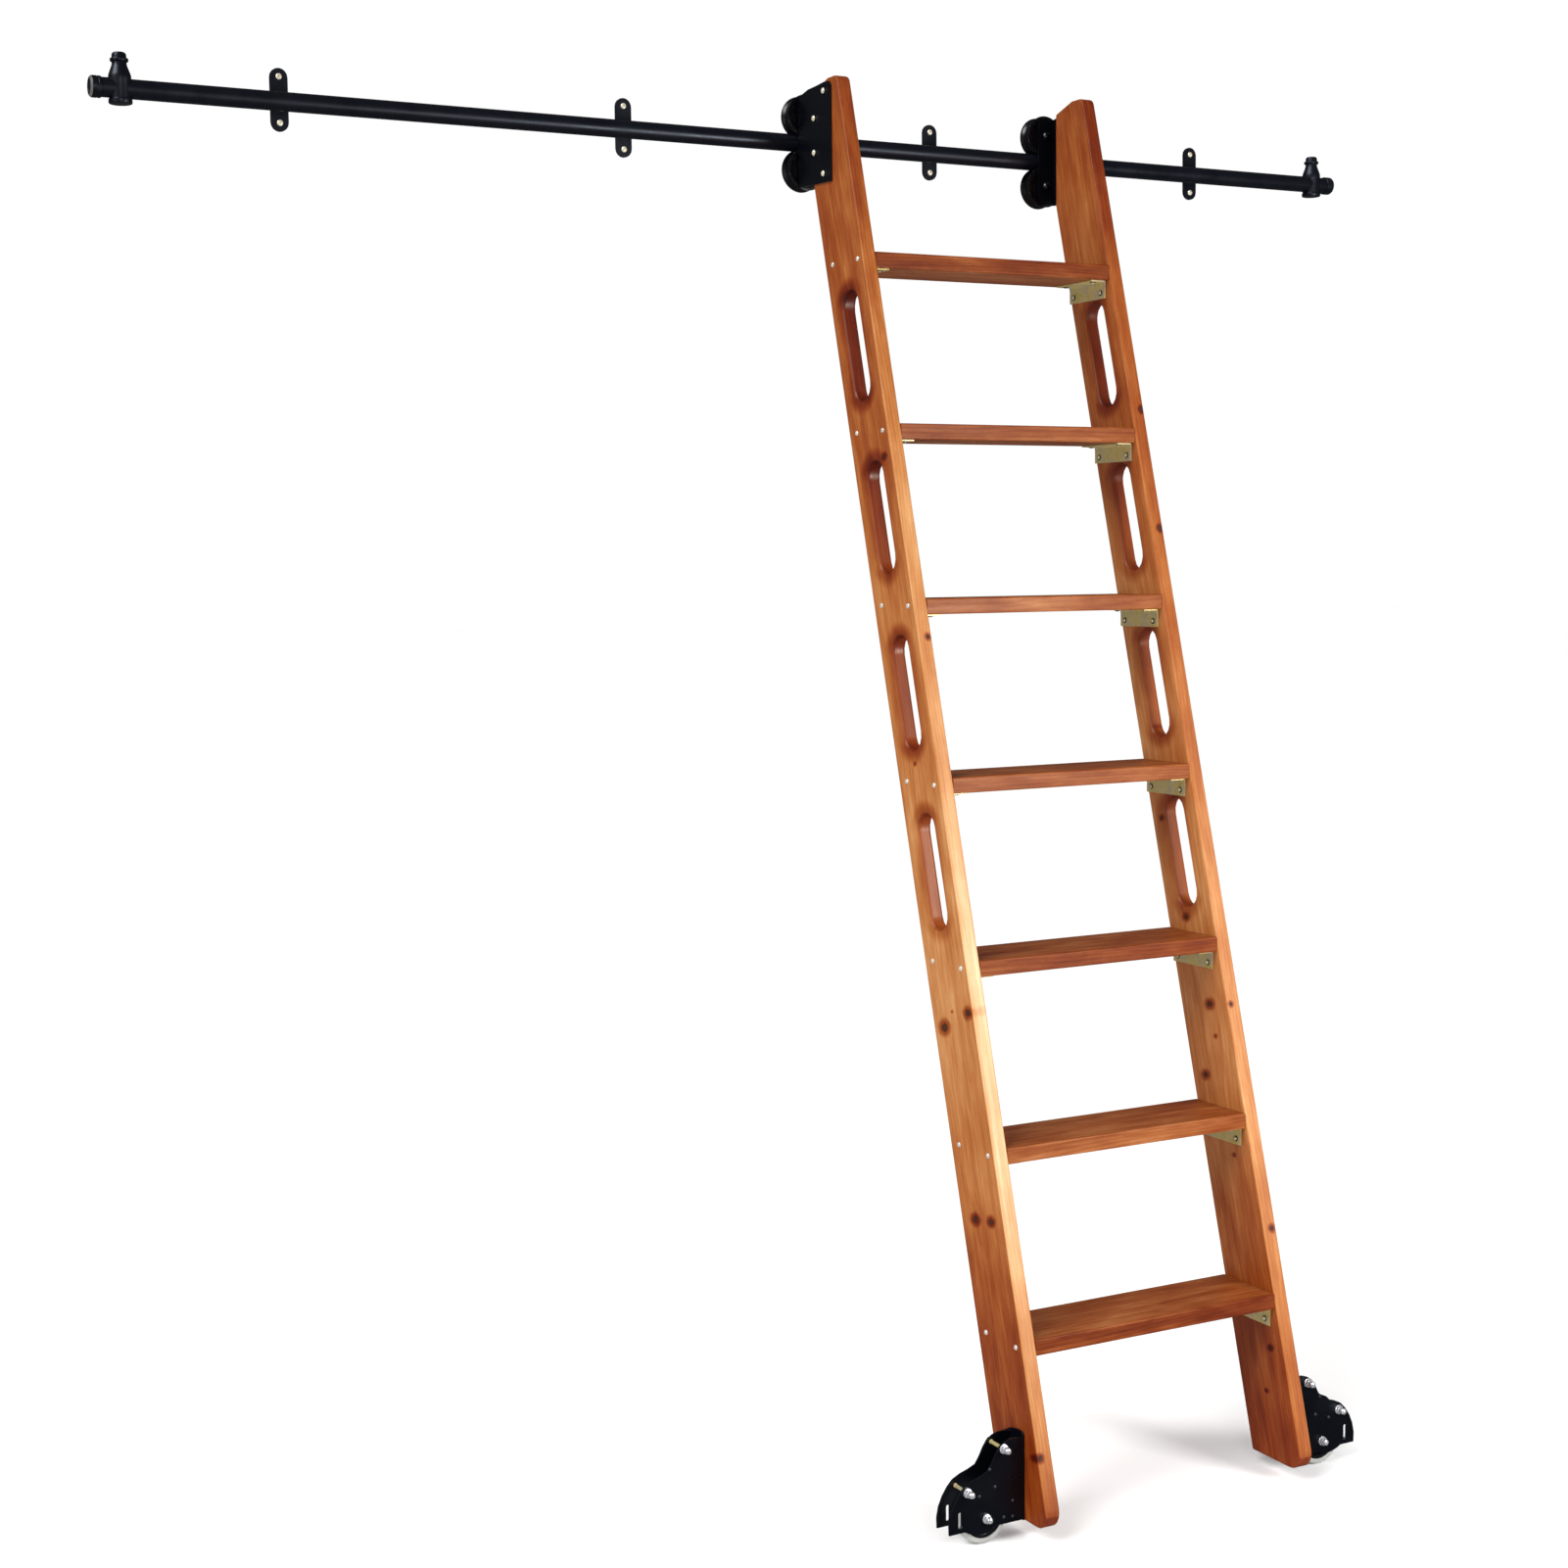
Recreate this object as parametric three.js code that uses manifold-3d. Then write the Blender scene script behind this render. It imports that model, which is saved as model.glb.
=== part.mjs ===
// Rolling library ladder on a wall rail. Millimetres, +X along the rail, +Y to the wall, +Z up.
import * as THREE from "three";
import { mergeVertices } from "three/addons/utils/BufferGeometryUtils.js";
import Module from "manifold-3d";

const wasm = await Module();
wasm.setup();

// ---- driving dimensions ----
const LEAN = THREE.MathUtils.degToRad(15);
const GAP = 0.3;

const LADDER_WIDTH = 547;
const STILE_THICK = 27;
const STILE_DEPTH = 130;
const STILE_BOTTOM = 26;
const STILE_TOP = 2434;
const STILE_FOOT_RADIUS = 28;
const STILE_TOP_RADIUS = 14;
const PLUMB_CUT_Y = 738;
const TOP_BEVEL_START_Y = 686;
const TOP_BEVEL_DROP = 16;

const TREAD_COUNT = 7;
const FIRST_TREAD_TOP = 320;
const TREAD_RISE = 300;
const TREAD_THICK = 27;
const TREAD_DEPTH = 138.6;
const TREAD_OVERHANG = 2;
const TREAD_NOSE_RADIUS = 2.5;

const SLOT_TREADS = [2, 3, 4, 5];
const SLOT_ABOVE_TREAD = 140;
const SLOT_LENGTH = 197;
const SLOT_WIDTH = 52;
const SLOT_FROM_FRONT = 65;
const SLOT_LIP = 6;
const SLOT_LIP_ANGLES = [0, 30, 60, 90];

const TREAD_BRACKET_START = 10;
const TREAD_BRACKET_LENGTH = 112;
const TREAD_BRACKET_LEG = 32;
const TREAD_BRACKET_THICK = 2.5;

const RAIL_Y = 804;
const RAIL_Z = 2340;
const RAIL_RADIUS = 15.5;
const RAIL_BORE = 13;
const TEE_LEFT_X = -1480;
const TEE_RIGHT_X = 920;
const RAIL_PAST_TEE = 30;

const WALL_BRACKET_X = [-1208, -588, 45, 656];
const WALL_PLATE_BACK = 62;
const WALL_PLATE_THICK = 5;
const WALL_PLATE_WIDTH = 30;
const WALL_PLATE_HEIGHT = 103;
const WALL_PLATE_RAISE = 14;
const WALL_HOLE_SPACING = 75;
const WALL_HOLE_RADIUS = 2.7;
const WALL_ARM_WIDTH = 14;

const ROLLER_X = 258;
const ROLLER_OFFSET = 47;
const ROLLER_RADIUS = 38.6;
const ROLLER_HALF_WIDTH = 14;
const GROOVE_RADIUS = RAIL_RADIUS + GAP;
const AXLE_RADIUS = 5;
const AXLE_BORE = 5.3;

const SHEET_THICK = 3;
const TOP_PLATE_REAR = -16.5;
const TOP_PLATE_INNER_X = 240;
const TOP_SCREWS = [[-111, 73], [-75, 31], [-75, -29], [-108, -70]];

const FOOT_FRONT_Y = 76;
const FOOT_BACK_Y = 113;
const WHEEL_X = 347;
const WHEEL_RADIUS = 44;
const WHEEL_HALF_WIDTH = 12;
const TYRE_INNER = 35;
const TIE_A = [314, 154];
const TIE_B = [383, 94];
const TIE_BORE = 4.3;
const FOOT_SLOT = [398, 51];
const FOOT_SLOT_LENGTH = 27;
const FOOT_SLOT_WIDTH = 6;

// ---- derived ----
const TAN = Math.tan(LEAN);
const STILE_RUN = STILE_DEPTH / Math.cos(LEAN);
const OUTER_X = LADDER_WIDTH / 2;
const INNER_X = OUTER_X - STILE_THICK;
const FLANGE_X = OUTER_X + GAP;

// ---- finishes ----
const WOOD = { color: 0xa85f2c, roughness: 0.45, metalness: 0 };
const TREAD_WOOD = { color: 0x9a5228, roughness: 0.5, metalness: 0 };
const BLACK = { color: 0x17181c, roughness: 0.4, metalness: 0.6 };
const NYLON = { color: 0x15151a, roughness: 0.25, metalness: 0 };
const ZINC = { color: 0xb5a96f, roughness: 0.35, metalness: 0.9 };
const STEEL = { color: 0xc9ccd2, roughness: 0.15, metalness: 1 };
const RUBBER = { color: 0x6e6e6e, roughness: 0.8, metalness: 0 };

const group = new THREE.Group();

// ---- geometry helpers ----
function cleaned(geometry) {
  geometry.deleteAttribute("normal");
  geometry.deleteAttribute("uv");
  const merged = mergeVertices(geometry, 1e-4);
  const index = merged.index.array;
  const kept = [];
  for (let i = 0; i < index.length; i += 3) {
    const [a, b, c] = [index[i], index[i + 1], index[i + 2]];
    if (a !== b && b !== c && c !== a) kept.push(a, b, c);
  }
  merged.setIndex(kept);
  return merged;
}

function toManifold(geometry) {
  const g = cleaned(geometry);
  const vertProperties = new Float32Array(g.attributes.position.array);
  const triVerts = new Uint32Array(g.index.array);
  return new wasm.Manifold(new wasm.Mesh({ numProp: 3, vertProperties, triVerts }));
}

function fromManifold(solid) {
  const mesh = solid.getMesh();
  const geometry = new THREE.BufferGeometry();
  const positions = new Float32Array(mesh.vertProperties);
  geometry.setAttribute("position", new THREE.BufferAttribute(positions, 3));
  geometry.setIndex(Array.from(mesh.triVerts));
  return geometry;
}

function union(first, ...others) {
  let solid = toManifold(first);
  for (const other of others) solid = solid.add(toManifold(other));
  return fromManifold(solid);
}

function subtract(first, ...others) {
  let solid = toManifold(first);
  for (const other of others) solid = solid.subtract(toManifold(other));
  return fromManifold(solid);
}

function addMesh(name, geometry, finish) {
  const mesh = new THREE.Mesh(geometry, new THREE.MeshStandardMaterial(finish));
  mesh.name = name;
  group.add(mesh);
}

function shapeOf(points, holes = []) {
  const shape = new THREE.Shape(points.map(([a, b]) => new THREE.Vector2(a, b)));
  for (const hole of holes) {
    shape.holes.push(new THREE.Path(hole.map(([a, b]) => new THREE.Vector2(a, b))));
  }
  return shape;
}

// A flat outline in (y, z), thick along X from x0 to x1.
function slabAcrossX(points, holes, x0, x1) {
  const low = Math.min(x0, x1);
  const depth = Math.abs(x1 - x0);
  const g = new THREE.ExtrudeGeometry(shapeOf(points, holes), { depth, bevelEnabled: false });
  const turn = new THREE.Matrix4().set(0, 0, 1, low, 1, 0, 0, 0, 0, 1, 0, 0, 0, 0, 0, 1);
  return g.applyMatrix4(turn);
}

// A closed solid skinned over matching outlines in (y, z), one at each station along X.
function skinAcrossX(stations) {
  const count = stations[0].outline.length;
  const positions = stations.flatMap(({ x, outline }) => outline.flatMap(([y, z]) => [x, y, z]));
  const index = [];
  for (let s = 0; s + 1 < stations.length; s += 1) {
    for (let i = 0; i < count; i += 1) {
      const [a, b] = [s * count + i, s * count + ((i + 1) % count)];
      index.push(a, b, b + count, a, b + count, a + count);
    }
  }
  const end = (stations.length - 1) * count;
  for (let i = 1; i + 1 < count; i += 1) index.push(0, i + 1, i, end, end + i, end + i + 1);
  const geometry = new THREE.BufferGeometry();
  geometry.setAttribute("position", new THREE.BufferAttribute(new Float32Array(positions), 3));
  geometry.setIndex(index);
  return geometry;
}

// A flat outline in (x, z), thick along Y from y0 to y1.
function slabAcrossY(points, holes, y0, y1) {
  const g = new THREE.ExtrudeGeometry(shapeOf(points, holes), { depth: y1 - y0, bevelEnabled: false });
  const turn = new THREE.Matrix4().set(1, 0, 0, 0, 0, 0, -1, y1, 0, 1, 0, 0, 0, 0, 0, 1);
  return g.applyMatrix4(turn);
}

function arc(cx, cy, radius, fromDeg, toDeg, steps) {
  const points = [];
  for (let i = 0; i <= steps; i += 1) {
    const a = THREE.MathUtils.degToRad(fromDeg + ((toDeg - fromDeg) * i) / steps);
    points.push([cx + radius * Math.cos(a), cy + radius * Math.sin(a)]);
  }
  return points;
}

function circle(cx, cy, radius, steps) {
  return arc(cx, cy, radius, 0, 360 - 360 / steps, steps - 1);
}

// A round-ended slot outline, its long axis turned by `turn` degrees from vertical.
function slotOutline(cx, cy, length, width, turn, steps) {
  const radius = width / 2;
  const half = length / 2 - radius;
  const upright = [...arc(0, half, radius, 0, 180, steps), ...arc(0, -half, radius, 180, 360, steps)];
  const a = THREE.MathUtils.degToRad(turn);
  const spin = ([x, y]) => [cx + x * Math.cos(a) + y * Math.sin(a), cy - x * Math.sin(a) + y * Math.cos(a)];
  return upright.map(spin);
}

// A corner cut back by a tangent arc of the given radius.
function roundedCorner(before, corner, after, radius, steps) {
  const c = new THREE.Vector2(...corner);
  const u = new THREE.Vector2(...before).sub(c).normalize();
  const v = new THREE.Vector2(...after).sub(c).normalize();
  const half = Math.acos(u.dot(v)) / 2;
  const reach = radius / Math.tan(half);
  const start = c.clone().addScaledVector(u, reach);
  const end = c.clone().addScaledVector(v, reach);
  const middle = u.clone().add(v).normalize();
  const centre = c.clone().addScaledVector(middle, radius / Math.sin(half));
  const from = start.clone().sub(centre).angle();
  let sweep = end.clone().sub(centre).angle() - from;
  if (sweep > Math.PI) sweep -= 2 * Math.PI;
  if (sweep < -Math.PI) sweep += 2 * Math.PI;
  const points = [];
  for (let i = 0; i <= steps; i += 1) {
    const a = from + (sweep * i) / steps;
    points.push([centre.x + radius * Math.cos(a), centre.y + radius * Math.sin(a)]);
  }
  return points;
}

function lathe(profile, segments) {
  return new THREE.LatheGeometry(profile.map(([r, a]) => new THREE.Vector2(r, a)), segments);
}

function latheAlongX(profile, segments, x, y, z) {
  return lathe(profile, segments).rotateZ(-Math.PI / 2).translate(x, y, z);
}

function latheAlongY(profile, segments, x, y, z) {
  return lathe(profile, segments).translate(x, y, z);
}

function latheAlongZ(profile, segments, x, y, z) {
  return lathe(profile, segments).rotateX(Math.PI / 2).translate(x, y, z);
}

// ---- ladder frame ----
function frontY(z) {
  return z * TAN;
}

function stileOutline() {
  const frontFoot = [frontY(STILE_BOTTOM), STILE_BOTTOM];
  const rearFoot = [frontY(STILE_BOTTOM) + STILE_RUN, STILE_BOTTOM];
  const plumbStart = [PLUMB_CUT_Y, (PLUMB_CUT_Y - STILE_RUN) / TAN];
  const plumbTop = [PLUMB_CUT_Y, STILE_TOP - TOP_BEVEL_DROP];
  const bevelTop = [TOP_BEVEL_START_Y, STILE_TOP];
  const frontTop = [frontY(STILE_TOP), STILE_TOP];
  return [
    ...roundedCorner(frontTop, frontFoot, rearFoot, STILE_FOOT_RADIUS, 6),
    rearFoot,
    plumbStart,
    plumbTop,
    bevelTop,
    ...roundedCorner(bevelTop, frontTop, frontFoot, STILE_TOP_RADIUS, 5),
  ];
}

// What a handhold slot takes out of a stile: a round-ended hole with its lips rounded over at both faces.
function handholdCutter(tread, x0, x1) {
  const z = FIRST_TREAD_TOP + tread * TREAD_RISE + SLOT_ABOVE_TREAD;
  const y = frontY(z) + SLOT_FROM_FRONT / Math.cos(LEAN);
  const ring = (x, grow) => {
    return { x, outline: slotOutline(y, z, SLOT_LENGTH + 2 * grow, SLOT_WIDTH + 2 * grow, 15, 8) };
  };
  const lip = SLOT_LIP_ANGLES.map((degrees) => {
    const a = THREE.MathUtils.degToRad(degrees);
    return [SLOT_LIP * (1 - Math.cos(a)), SLOT_LIP * (1 - Math.sin(a))];
  });
  const near = lip.map(([depth, grow]) => ring(x0 + depth, grow));
  const far = lip.map(([depth, grow]) => ring(x1 - depth, grow)).reverse();
  return skinAcrossX([ring(x0 - 1, SLOT_LIP), ...near, ...far, ring(x1 + 1, SLOT_LIP)]);
}

function addStile(name, side) {
  const [x0, x1] = side > 0 ? [INNER_X, OUTER_X] : [-OUTER_X, -INNER_X];
  const board = slabAcrossX(stileOutline(), [], x0, x1);
  const cutters = SLOT_TREADS.map((tread) => handholdCutter(tread, x0, x1));
  addMesh(name, subtract(board, ...cutters), WOOD);
}

function addTread(number) {
  const top = FIRST_TREAD_TOP + (number - 1) * TREAD_RISE;
  const y0 = frontY(top) - TREAD_OVERHANG;
  const y1 = y0 + TREAD_DEPTH;
  const z0 = top - TREAD_THICK;
  const r = TREAD_NOSE_RADIUS;
  const outline = [
    ...arc(y0 + r, z0 + r, r, 180, 270, 3),
    ...arc(y1 - r, z0 + r, r, 270, 360, 3),
    ...arc(y1 - r, top - r, r, 0, 90, 3),
    ...arc(y0 + r, top - r, r, 90, 180, 3),
  ];
  const half = INNER_X - GAP;
  addMesh(`tread_${number}`, slabAcrossX(outline, [], -half, half), TREAD_WOOD);
  addTreadBracket(`tread_bracket_left_${number}`, -1, y0 + TREAD_BRACKET_START, z0 - GAP);
  addTreadBracket(`tread_bracket_right_${number}`, 1, y0 + TREAD_BRACKET_START, z0 - GAP);
}

// An angle under a tread end: one leg on the stile, one under the tread.
function addTreadBracket(name, side, y0, top) {
  const wall = INNER_X - GAP;
  const t = TREAD_BRACKET_THICK;
  const leg = TREAD_BRACKET_LEG;
  const section = [
    [wall, top],
    [wall - leg, top],
    [wall - leg, top - t],
    [wall - t - 2, top - t],
    [wall - t, top - t - 2],
    [wall - t, top - leg],
    [wall, top - leg],
  ].map(([x, z]) => [side * x, z]);
  addMesh(name, slabAcrossY(section, [], y0, y0 + TREAD_BRACKET_LENGTH), ZINC);
}

// ---- rail on the wall ----
function addRail() {
  const x0 = TEE_LEFT_X - RAIL_PAST_TEE;
  const x1 = TEE_RIGHT_X + RAIL_PAST_TEE;
  const profile = [[RAIL_BORE, x0], [RAIL_RADIUS, x0], [RAIL_RADIUS, x1], [RAIL_BORE, x1], [RAIL_BORE, x0]];
  addMesh("rail_tube", latheAlongX(profile, 40, 0, RAIL_Y, RAIL_Z), BLACK);
}

function addRailEnd(label, teeX, side) {
  const body = [
    [0, -24],
    [17.5, -24],
    [18.5, -22.5],
    [18.5, -17],
    [17.8, -16],
    [17.8, 19],
    [11.5, 36],
    [11.5, 40.7],
    [0, 40.7],
  ];
  const bore = [[0, -60], [RAIL_RADIUS + GAP, -60], [RAIL_RADIUS + GAP, 60], [0, 60]];
  const tee = subtract(
    latheAlongZ(body, 28, teeX, RAIL_Y, RAIL_Z),
    latheAlongX(bore, 40, teeX, RAIL_Y, RAIL_Z),
  );
  addMesh(`rail_tee_${label}`, tee, BLACK);
  const cap = [[0, 41], [14, 41], [14.4, 43], [14, 46], [12, 47], [11, 53], [9, 55], [0, 55.5]];
  addMesh(`tee_cap_${label}`, latheAlongZ(cap, 24, teeX, RAIL_Y, RAIL_Z), BLACK);
  const end = teeX + side * (RAIL_PAST_TEE + GAP);
  const stem = [[0, -15], [12.2, -15], [12.7, -13], [12.7, 0]];
  const collar = [[16.8, 0], [17.2, 2], [17.2, 14], [15.5, 17], [10, 18], [0, 18]];
  const plug = [...stem, ...collar];
  const placed = side > 0 ? plug : plug.map(([r, a]) => [r, -a]).reverse();
  addMesh(`end_plug_${label}`, latheAlongX(placed, 24, end, RAIL_Y, RAIL_Z), BLACK);
}

function addWallBracket(number, x) {
  const half = WALL_HOLE_SPACING / 2;
  const plateZ = RAIL_Z + WALL_PLATE_RAISE;
  const back = RAIL_Y + WALL_PLATE_BACK;
  const front = back - WALL_PLATE_THICK;
  const holes = [
    circle(x, plateZ + half, WALL_HOLE_RADIUS, 12),
    circle(x, plateZ - half, WALL_HOLE_RADIUS, 12),
  ];
  const outline = slotOutline(x, plateZ, WALL_PLATE_HEIGHT, WALL_PLATE_WIDTH, 0, 8);
  const plate = slabAcrossY(outline, holes, front, back);
  const armSide = [
    [RAIL_Y + 12, RAIL_Z - 6.5],
    [RAIL_Y + 22, RAIL_Z - 6],
    [front + 1, RAIL_Z + 5],
    [front + 1, RAIL_Z + 25],
    [RAIL_Y + 24, RAIL_Z + 7.5],
    [RAIL_Y + 12, RAIL_Z + 6.5],
  ];
  const arm = slabAcrossX(armSide, [], x - WALL_ARM_WIDTH / 2, x + WALL_ARM_WIDTH / 2);
  const reach = WALL_ARM_WIDTH;
  const seat = [[0, -reach], [RAIL_RADIUS + GAP, -reach], [RAIL_RADIUS + GAP, reach], [0, reach]];
  const saddled = subtract(arm, latheAlongX(seat, 40, x, RAIL_Y, RAIL_Z));
  addMesh(`wall_bracket_${number}`, union(plate, saddled), BLACK);
}

// ---- rollers that clasp the rail ----
function addTopBracket(label, side) {
  const flangeOutline = [
    [-135, -87],
    [-16.5, -82],
    [-16.5, 78],
    [-34, 81],
    [-53, 85],
    [-82, 86],
    [-112, 88],
    [-130, 86],
    [-135, 80],
  ].map(([y, z]) => [RAIL_Y + y, RAIL_Z + z]);
  const screwHoles = TOP_SCREWS.map(([y, z]) => circle(RAIL_Y + y, RAIL_Z + z, 2.6, 8));
  const outerX = FLANGE_X + SHEET_THICK;
  const flange = slabAcrossX(flangeOutline, screwHoles, side * FLANGE_X, side * outerX);
  const plateOutline = [
    [outerX, -82],
    [outerX, 78],
    ...arc(TOP_PLATE_INNER_X + 16, 62, 16, 90, 180, 4),
    ...arc(TOP_PLATE_INNER_X + 16, -66, 16, 180, 270, 4),
  ].map(([x, z]) => [side * x, RAIL_Z + z]);
  const axleHoles = [
    circle(side * ROLLER_X, RAIL_Z + ROLLER_OFFSET, AXLE_BORE, 16),
    circle(side * ROLLER_X, RAIL_Z - ROLLER_OFFSET, AXLE_BORE, 16),
  ];
  const rear = RAIL_Y + TOP_PLATE_REAR;
  const plate = slabAcrossY(plateOutline, axleHoles, rear - SHEET_THICK, rear);
  addMesh(`top_bracket_${label}`, union(flange, plate), BLACK);
}

function grooveProfile() {
  const points = [];
  const edge = 13.2;
  for (let i = 0; i <= 6; i += 1) {
    const y = -edge + (2 * edge * i) / 6;
    points.push([ROLLER_OFFSET - Math.sqrt(GROOVE_RADIUS ** 2 - y ** 2), y]);
  }
  return points;
}

function addRoller(name, side, up) {
  const w = ROLLER_HALF_WIDTH;
  const profile = [
    [AXLE_BORE, -16],
    [10, -16],
    [10, -w],
    [ROLLER_RADIUS - 1, -w],
    ...grooveProfile(),
    [ROLLER_RADIUS - 1, w],
    [AXLE_BORE, w],
    [AXLE_BORE, -16],
  ];
  const z = RAIL_Z + up * ROLLER_OFFSET;
  addMesh(name, latheAlongY(profile, 32, side * ROLLER_X, RAIL_Y, z), NYLON);
  const axle = [
    [0, -25],
    [5, -25],
    [8, -23],
    [8, -19.8],
    [AXLE_RADIUS, -19.8],
    [AXLE_RADIUS, w + GAP],
    [9, w + GAP],
    [9, w + 5],
    [0, w + 6.5],
  ];
  const axleName = name.replace("roller", "roller_axle");
  addMesh(axleName, latheAlongY(axle, 16, side * ROLLER_X, RAIL_Y, z), STEEL);
}

// ---- wheeled feet ----
function footPlateOutline(side) {
  const outline = [
    [277.1, 29],
    [277.1, 165],
    [286, 168],
    [301, 168.5],
    [312, 165],
    [322, 159],
    [331, 146],
    [337, 134],
    [345, 122],
    [358, 116.5],
    [373, 112],
    [388, 105],
    [398, 95],
    [408, 80.5],
    [415, 64],
    [418.5, 47],
    [418, 29.5],
    [388, 29.5],
    [380, 25],
    [369, 21.5],
    [358, 20],
    [348, 21],
    [339, 24],
    [331, 29],
  ];
  return outline.map(([x, z]) => [side * x, z]);
}

function addFootPlate(name, side, y0) {
  const holes = [
    circle(side * TIE_A[0], TIE_A[1], TIE_BORE, 16),
    circle(side * TIE_B[0], TIE_B[1], TIE_BORE, 16),
    circle(side * WHEEL_X, WHEEL_RADIUS, AXLE_BORE, 16),
    slotOutline(side * FOOT_SLOT[0], FOOT_SLOT[1], FOOT_SLOT_LENGTH, FOOT_SLOT_WIDTH, 0, 6),
  ];
  addMesh(name, slabAcrossY(footPlateOutline(side), holes, y0, y0 + SHEET_THICK), BLACK);
}

function addFootFlange(name, side) {
  const front = FOOT_FRONT_Y;
  const outline = [
    [front, 27],
    [140, 27],
    [150, 62],
    [160, 100],
    [164, 141],
    [142, 157],
    [114, 171],
    [92, 175],
    [80, 174],
    [front, 169],
  ];
  addMesh(name, slabAcrossX(outline, [], side * FLANGE_X, side * (FLANGE_X + SHEET_THICK)), BLACK);
}

// A through bolt with its spacer sleeve, dome nut in front and head behind.
function addFootTie(name, x, z) {
  const f = FOOT_FRONT_Y;
  const b = FOOT_BACK_Y;
  const t = SHEET_THICK;
  const profile = [
    [0, f - 17],
    [3.5, f - 16],
    [5.5, f - 13],
    [6, f - 9],
    [7.5, f - 7],
    [7.5, f - GAP],
    [4, f - GAP],
    [4, f + t + GAP],
    [5.5, f + t + GAP],
    [5.5, b - GAP],
    [4, b - GAP],
    [4, b + t + GAP],
    [7.5, b + t + GAP],
    [7.5, b + t + 4],
    [0, b + t + 4],
  ];
  addMesh(name, latheAlongY(profile, 16, x, 0, z), ZINC);
}

function addWheel(label, side) {
  const f = FOOT_FRONT_Y;
  const b = FOOT_BACK_Y;
  const t = SHEET_THICK;
  const mid = (f + t + b) / 2;
  const w = WHEEL_HALF_WIDTH;
  const axle = [
    [0, f - 13],
    [3.5, f - 12],
    [6, f - 9],
    [6.5, f - 7],
    [8, f - 5],
    [8, f - GAP],
    [AXLE_RADIUS, f - GAP],
    [AXLE_RADIUS, b + t + GAP],
    [8, b + t + GAP],
    [8, b + t + 4],
    [0, b + t + 4],
  ];
  addMesh(`foot_axle_${label}`, latheAlongY(axle, 16, side * WHEEL_X, 0, WHEEL_RADIUS), STEEL);
  const hub = [
    [AXLE_BORE, -w - 4],
    [11, -w - 4],
    [11, -w + 1],
    [TYRE_INNER - GAP, -w + 1],
    [TYRE_INNER - GAP, w - 1],
    [11, w - 1],
    [11, w + 4],
    [AXLE_BORE, w + 4],
    [AXLE_BORE, -w - 4],
  ];
  addMesh(`foot_wheel_hub_${label}`, latheAlongY(hub, 32, side * WHEEL_X, mid, WHEEL_RADIUS), NYLON);
  const r = WHEEL_RADIUS;
  const tyre = [
    [TYRE_INNER, -w],
    [r - 2, -w],
    [r, -w + 3],
    [r, w - 3],
    [r - 2, w],
    [TYRE_INNER, w],
    [TYRE_INNER, -w],
  ];
  addMesh(`foot_tyre_${label}`, latheAlongY(tyre, 40, side * WHEEL_X, mid, WHEEL_RADIUS), RUBBER);
}

function addFoot(label, side) {
  addFootFlange(`foot_flange_${label}`, side);
  addFootPlate(`foot_front_plate_${label}`, side, FOOT_FRONT_Y);
  addFootPlate(`foot_back_plate_${label}`, side, FOOT_BACK_Y);
  addFootTie(`foot_tie_upper_${label}`, side * TIE_A[0], TIE_A[1]);
  addFootTie(`foot_tie_outer_${label}`, side * TIE_B[0], TIE_B[1]);
  addWheel(label, side);
}

// ---- assembly ----
addRail();
addRailEnd("left", TEE_LEFT_X, -1);
addRailEnd("right", TEE_RIGHT_X, 1);
WALL_BRACKET_X.forEach((x, i) => addWallBracket(i + 1, x));
for (const [label, side] of [["left", -1], ["right", 1]]) {
  addStile(`stile_${label}`, side);
  addTopBracket(label, side);
  addRoller(`roller_upper_${label}`, side, 1);
  addRoller(`roller_lower_${label}`, side, -1);
  addFoot(label, side);
}
for (let number = 1; number <= TREAD_COUNT; number += 1) addTread(number);

// The origin is the centre of the whole assembly's base.
const box = new THREE.Box3().setFromObject(group);
const centre = box.getCenter(new THREE.Vector3());
for (const mesh of group.children) {
  mesh.geometry.translate(-centre.x, -centre.y, -box.min.z);
}

export default group;
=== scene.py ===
"""The looks of the library ladder: turned fittings, fasteners, wood, metal and light on its CAD frame."""

import math

import bmesh
import bpy
from mathutils import Matrix, Vector


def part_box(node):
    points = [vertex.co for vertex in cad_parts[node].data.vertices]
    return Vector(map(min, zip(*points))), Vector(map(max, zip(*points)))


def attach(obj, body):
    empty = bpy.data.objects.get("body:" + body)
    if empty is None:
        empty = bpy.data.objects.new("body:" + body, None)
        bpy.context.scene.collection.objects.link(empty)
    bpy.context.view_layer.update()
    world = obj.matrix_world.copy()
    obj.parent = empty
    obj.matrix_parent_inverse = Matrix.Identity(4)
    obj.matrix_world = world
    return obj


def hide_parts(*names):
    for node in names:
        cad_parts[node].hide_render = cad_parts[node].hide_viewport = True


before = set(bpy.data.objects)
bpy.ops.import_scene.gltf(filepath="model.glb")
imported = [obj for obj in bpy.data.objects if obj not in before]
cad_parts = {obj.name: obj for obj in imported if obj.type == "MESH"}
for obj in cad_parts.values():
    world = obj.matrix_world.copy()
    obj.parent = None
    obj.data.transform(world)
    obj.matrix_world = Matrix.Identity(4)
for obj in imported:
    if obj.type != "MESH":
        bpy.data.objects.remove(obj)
bpy.context.view_layer.update()

# ---- sizes, in metres; profiles are in millimetres ----
MM = 0.001
LEAN = math.radians(15)
STILE_DEPTH = 130 * MM
TREAD_OVERHANG = 2 * MM
TREAD_COUNT = 7
WALL_BRACKET_COUNT = 4
PLATE_THICKNESS = 3 * MM
SIDES = (("left", -1), ("right", 1))
TAN = math.tan(LEAN)
COS = math.cos(LEAN)
SIN = math.sin(LEAN)


def middle(node):
    """The middle of a node's box at rest."""
    lo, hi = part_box(node)
    return (lo + hi) / 2


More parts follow.
